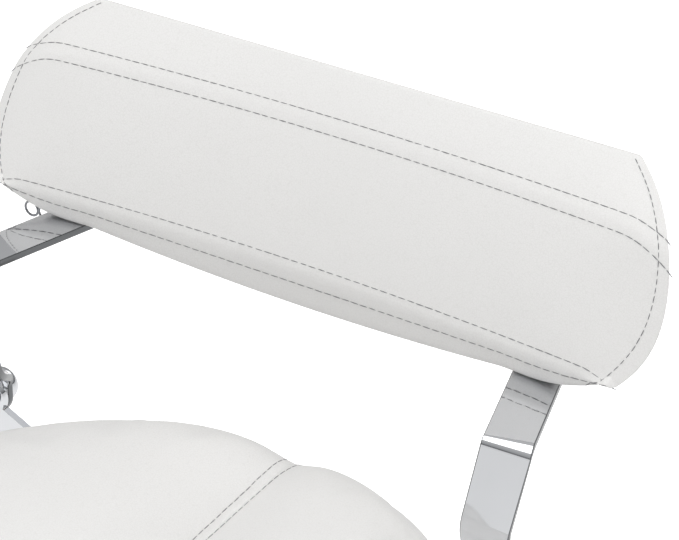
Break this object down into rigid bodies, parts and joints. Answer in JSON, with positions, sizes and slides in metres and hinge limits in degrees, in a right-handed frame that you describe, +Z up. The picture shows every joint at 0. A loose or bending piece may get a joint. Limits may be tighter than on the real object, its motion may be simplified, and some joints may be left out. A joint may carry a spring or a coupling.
{
  "type": "drafting chair",
  "caption": "Height-adjustable drafting chair: round padded seat, low padded back on two flat chrome bands, foot ring, star base on twin-wheel casters.",
  "frame": {"origin": "on the floor, under the column's axis", "axes": "+Z up, the sitter faces -Y, +X to the sitter's left-hand side as seen from the front right"},
  "size_m": [0.617, 0.5954, 0.8615],
  "materials": {
    "polished_chrome": "polished",
    "polished_aluminium": "polished",
    "dark_steel": "satin",
    "satin_steel": "satin",
    "black_steel": "semi-gloss",
    "black_plastic": "fine texture",
    "white_leather": "smooth grain",
    "plywood": "sealed",
    "caster_tread": "moulded"
  },
  "bodies": {
    "base": {"star_base": "polished_aluminium", "column_tube": "black_steel", "tube_bushing": "black_plastic", "thrust_bearing": "dark_steel", "caster_stem_1": "dark_steel", "caster_stem_2": "dark_steel", "caster_stem_3": "dark_steel", "caster_stem_4": "dark_steel", "caster_stem_5": "dark_steel"},
    "spindle": {"piston_rod": "satin_steel", "rod_clip": "dark_steel"},
    "seat": {"gas_cylinder": "satin_steel", "seat_mechanism": "black_steel", "lever_pin": "dark_steel", "seat_board": "plywood", "seat_cushion": "white_leather", "bracket_right": "polished_chrome", "bracket_left": "polished_chrome", "band_right": "polished_chrome", "band_left": "polished_chrome", "pivot_bolts": "dark_steel", "joint_washers": "polished_chrome", "cap_nuts": "polished_chrome", "back_pad": "white_leather", "pad_base_board": "plywood", "pad_back_board": "plywood", "plate_screws": "dark_steel", "bracket_screws": "dark_steel", "pad_screws": "dark_steel", "zip_loops": "dark_steel"},
    "lever": {"height_lever": "polished_chrome", "lever_grip": "black_plastic"},
    "valve": {"valve_button": "black_plastic"},
    "footrest": {"foot_ring": "polished_chrome", "ring_spokes": "polished_chrome", "ring_collar": "polished_chrome"},
    "knob": {"clamp_knob": "black_plastic"},
    "caster_1": {"caster_hood_1": "polished_chrome"},
    "wheels_1": {"caster_axle_1": "dark_steel", "caster_wheels_1": "caster_tread"},
    "caster_2": {"caster_hood_2": "polished_chrome"},
    "wheels_2": {"caster_axle_2": "dark_steel", "caster_wheels_2": "caster_tread"},
    "caster_3": {"caster_hood_3": "polished_chrome"},
    "wheels_3": {"caster_axle_3": "dark_steel", "caster_wheels_3": "caster_tread"},
    "caster_4": {"caster_hood_4": "polished_chrome"},
    "wheels_4": {"caster_axle_4": "dark_steel", "caster_wheels_4": "caster_tread"},
    "caster_5": {"caster_hood_5": "polished_chrome"},
    "wheels_5": {"caster_axle_5": "dark_steel", "caster_wheels_5": "caster_tread"}
  },
  "joints": [
    {"name": "seat_swivel", "type": "hinge", "parent": "base", "child": "spindle", "pos_m": [0, 0, 0.072], "axis": [0, 0, 1], "continuous": true},
    {"name": "column_lift", "type": "slide", "parent": "spindle", "child": "seat", "axis": [0, 0, 1], "range_m": [0, 0.2]},
    {"name": "lever_lift", "type": "hinge", "parent": "seat", "child": "lever", "pos_m": [0.022, 0, 0.5161], "axis": [0, -1, 0], "range_deg": [0, 8], "stiffness_Nm_per_rad": 3, "springref_deg": -20.05},
    {"name": "valve_press", "type": "slide", "parent": "seat", "child": "valve", "axis": [0, 0, -1], "range_m": [0, 0.004]},
    {"name": "footrest_height", "type": "slide", "parent": "base", "child": "footrest", "axis": [0, 0, 1], "range_m": [-0.1, 0.14]},
    {"name": "clamp_turn", "type": "hinge", "parent": "footrest", "child": "knob", "pos_m": [0, -0.031, 0.262], "axis": [0, 1, 0], "range_deg": [0, 360]},
    {"name": "caster_swivel_1", "type": "hinge", "parent": "base", "child": "caster_1", "pos_m": [0, 0.3, 0.06], "axis": [0, 0, 1], "continuous": true},
    {"name": "caster_roll_1", "type": "hinge", "parent": "caster_1", "child": "wheels_1", "pos_m": [0.01589, 0.29155, 0.025], "axis": [-0.4695, -0.8829, 0], "continuous": true},
    {"name": "caster_swivel_2", "type": "hinge", "parent": "base", "child": "caster_2", "pos_m": [-0.28532, 0.0927, 0.06], "axis": [0, 0, 1], "continuous": true},
    {"name": "caster_roll_2", "type": "hinge", "parent": "caster_2", "child": "wheels_2", "pos_m": [-0.27237, 0.10521, 0.025], "axis": [0.6947, -0.7193, 0], "continuous": true},
    {"name": "caster_swivel_3", "type": "hinge", "parent": "base", "child": "caster_3", "pos_m": [-0.17634, -0.24271, 0.06], "axis": [0, 0, 1], "continuous": true},
    {"name": "caster_roll_3", "type": "hinge", "parent": "caster_3", "child": "wheels_3", "pos_m": [-0.18423, -0.22653, 0.025], "axis": [0.8988, 0.4384, 0], "continuous": true},
    {"name": "caster_swivel_4", "type": "hinge", "parent": "base", "child": "caster_4", "pos_m": [0.17634, -0.24271, 0.06], "axis": [0, 0, 1], "continuous": true},
    {"name": "caster_roll_4", "type": "hinge", "parent": "caster_4", "child": "wheels_4", "pos_m": [0.15851, -0.24521, 0.025], "axis": [-0.1392, 0.9903, 0], "continuous": true},
    {"name": "caster_swivel_5", "type": "hinge", "parent": "base", "child": "caster_5", "pos_m": [0.28532, 0.0927, 0.06], "axis": [0, 0, 1], "continuous": true},
    {"name": "caster_roll_5", "type": "hinge", "parent": "caster_5", "child": "wheels_5", "pos_m": [0.28219, 0.07498, 0.025], "axis": [-0.9848, 0.1736, 0], "continuous": true}
  ],
  "couplings": [
    {"joint": "valve_press", "follows": "lever_lift", "m_per_rad": 0.0255}
  ]
}
